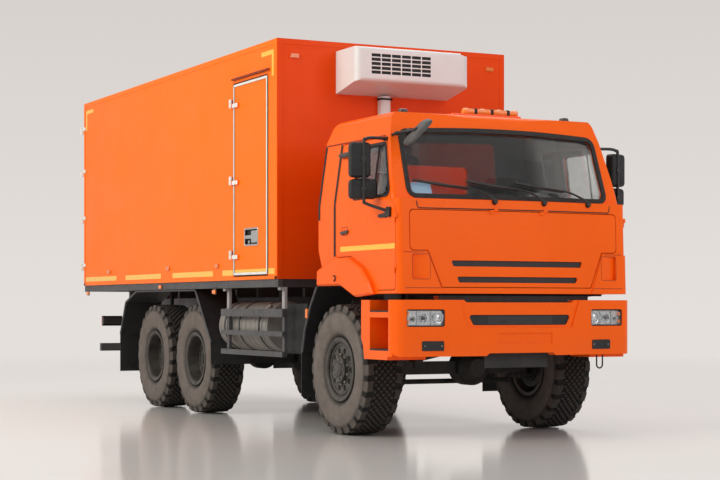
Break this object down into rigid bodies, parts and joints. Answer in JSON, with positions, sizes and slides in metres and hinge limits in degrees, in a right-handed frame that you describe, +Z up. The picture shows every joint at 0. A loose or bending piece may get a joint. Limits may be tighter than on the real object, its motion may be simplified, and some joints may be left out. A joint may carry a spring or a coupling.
{
  "type": "refrigerated truck",
  "caption": "Three-axle all-wheel-drive truck with tilting cab, insulated box body with side and rear doors, and a cooling unit above the cab.",
  "frame": {"origin": "middle of the truck's bounding box, on the ground under the tyres", "axes": "+X forward, +Y to the truck's left, +Z up"},
  "size_m": [8.7469, 2.932, 3.83],
  "materials": {
    "orange_paint": "gloss paint",
    "box_panel": "glass-fibre sandwich panel, painted",
    "dark_plastic": "moulded, fine grain",
    "chassis_paint": "satin chassis paint",
    "grey_steel": "grey paint, dusty",
    "rim_paint": "silver-grey paint, dusty",
    "tyre_rubber": "rubber, dusty side wall",
    "flap_rubber": "sheet rubber",
    "white_housing": "white moulded housing",
    "stainless": "brushed",
    "clear_glass": "tinted safety glass",
    "lamp_lens": "amber and red lens",
    "lamp_chrome": "clear lens over reflectors",
    "seat_fabric": "woven"
  },
  "bodies": {
    "root": {"frame_rails": "chassis_paint", "chassis_frame": "chassis_paint", "box_subframe": "grey_steel", "box_bearers": "grey_steel", "engine_block": "chassis_paint", "front_axle": "chassis_paint", "rear_bogie": "chassis_paint", "propshafts": "chassis_paint", "front_bumper": "orange_paint", "bumper_trim": "dark_plastic", "headlamps": "lamp_chrome", "mudguards": "dark_plastic", "road_guards": "grey_steel", "fuel_tank": "grey_steel", "air_tanks": "chassis_paint", "side_boxes": "dark_plastic", "lamps": "lamp_lens", "box_floor": "box_panel", "box_roof": "box_panel", "box_front_wall": "box_panel", "box_left_wall": "box_panel", "box_right_wall": "box_panel", "rear_frame": "box_panel", "cooling_unit": "white_housing", "unit_duct": "white_housing"},
    "cab": {"cab_shell": "orange_paint", "cab_glazing": "clear_glass", "cab_fenders": "orange_paint", "seats": "seat_fabric", "dashboard": "dark_plastic", "wipers": "dark_plastic", "kerb_mirror": "dark_plastic", "roof_lamps": "lamp_lens"},
    "cab_door_left": {"cab_door_left": "orange_paint", "door_glass_left": "clear_glass", "door_mirrors_left": "dark_plastic"},
    "cab_door_right": {"cab_door_right": "orange_paint", "door_glass_right": "clear_glass", "door_mirrors_right": "dark_plastic"},
    "service_panel": {"service_panel": "orange_paint", "panel_mesh": "dark_plastic"},
    "side_door": {"side_door": "box_panel"},
    "rear_door_left": {"rear_door_left": "box_panel"},
    "rear_door_right": {"rear_door_right": "box_panel"},
    "knuckle_left": {"knuckle_left": "chassis_paint"},
    "knuckle_right": {"knuckle_right": "chassis_paint"},
    "tie_rod": {"tie_rod": "chassis_paint"},
    "wheel_front_left": {"tyre_front_left": "tyre_rubber", "rim_front_left": "rim_paint"},
    "wheel_front_right": {"tyre_front_right": "tyre_rubber", "rim_front_right": "rim_paint"},
    "wheel_middle_left": {"tyre_middle_left": "tyre_rubber", "rim_middle_left": "rim_paint"},
    "wheel_middle_right": {"tyre_middle_right": "tyre_rubber", "rim_middle_right": "rim_paint"},
    "wheel_rear_left": {"tyre_rear_left": "tyre_rubber", "rim_rear_left": "rim_paint"},
    "wheel_rear_right": {"tyre_rear_right": "tyre_rubber", "rim_rear_right": "rim_paint"}
  },
  "joints": [
    {"name": "cab_tilt", "type": "hinge", "parent": "root", "child": "cab", "pos_m": [4.2135, 0, 0.99], "axis": [0, 1, 0], "range_deg": [0, 60]},
    {"name": "cab_door_left_swing", "type": "hinge", "parent": "cab", "child": "cab_door_left", "pos_m": [4.2185, 1.198, 1.334], "axis": [0, 0, -1], "range_deg": [0, 70]},
    {"name": "cab_door_right_swing", "type": "hinge", "parent": "cab", "child": "cab_door_right", "pos_m": [4.2185, -1.198, 1.334], "axis": [0, 0, 1], "range_deg": [0, 70]},
    {"name": "service_panel_lift", "type": "hinge", "parent": "cab", "child": "service_panel", "pos_m": [4.325, 0, 2.033], "axis": [0, -1, 0], "range_deg": [0, 85]},
    {"name": "side_door_swing", "type": "hinge", "parent": "root", "child": "side_door", "pos_m": [0.7815, -1.326, 1.5], "axis": [0, 0, -1], "range_deg": [0, 170]},
    {"name": "rear_door_left_swing", "type": "hinge", "parent": "root", "child": "rear_door_left", "pos_m": [-4.3515, 1.325, 1.585], "axis": [0, 0, -1], "range_deg": [0, 270]},
    {"name": "rear_door_right_swing", "type": "hinge", "parent": "root", "child": "rear_door_right", "pos_m": [-4.3515, -1.325, 1.585], "axis": [0, 0, 1], "range_deg": [0, 270]},
    {"name": "steer_left", "type": "hinge", "parent": "root", "child": "knuckle_left", "pos_m": [3.0935, 0.8, 0.605], "axis": [0, 0, 1], "range_deg": [-30, 30]},
    {"name": "steer_right", "type": "hinge", "parent": "root", "child": "knuckle_right", "pos_m": [3.0935, -0.8, 0.605], "axis": [0, 0, 1], "range_deg": [-30, 30]},
    {"name": "tie_rod_slide", "type": "slide", "parent": "root", "child": "tie_rod", "axis": [0, -1, 0], "range_m": [-0.12, 0.12]},
    {"name": "wheel_front_left_spin", "type": "hinge", "parent": "knuckle_left", "child": "wheel_front_left", "pos_m": [3.0935, 1.015, 0.605], "axis": [0, 1, 0], "continuous": true},
    {"name": "wheel_front_right_spin", "type": "hinge", "parent": "knuckle_right", "child": "wheel_front_right", "pos_m": [3.0935, -1.015, 0.605], "axis": [0, 1, 0], "continuous": true},
    {"name": "wheel_middle_left_spin", "type": "hinge", "parent": "root", "child": "wheel_middle_left", "pos_m": [-0.5965, 1.015, 0.605], "axis": [0, 1, 0], "continuous": true},
    {"name": "wheel_middle_right_spin", "type": "hinge", "parent": "root", "child": "wheel_middle_right", "pos_m": [-0.5965, -1.015, 0.605], "axis": [0, 1, 0], "continuous": true},
    {"name": "wheel_rear_left_spin", "type": "hinge", "parent": "root", "child": "wheel_rear_left", "pos_m": [-1.9165, 1.015, 0.605], "axis": [0, 1, 0], "continuous": true},
    {"name": "wheel_rear_right_spin", "type": "hinge", "parent": "root", "child": "wheel_rear_right", "pos_m": [-1.9165, -1.015, 0.605], "axis": [0, 1, 0], "continuous": true}
  ],
  "couplings": [
    {"joint": "steer_right", "follows": "steer_left", "ratio": 1},
    {"joint": "tie_rod_slide", "follows": "steer_left", "m_per_rad": 0.205}
  ]
}
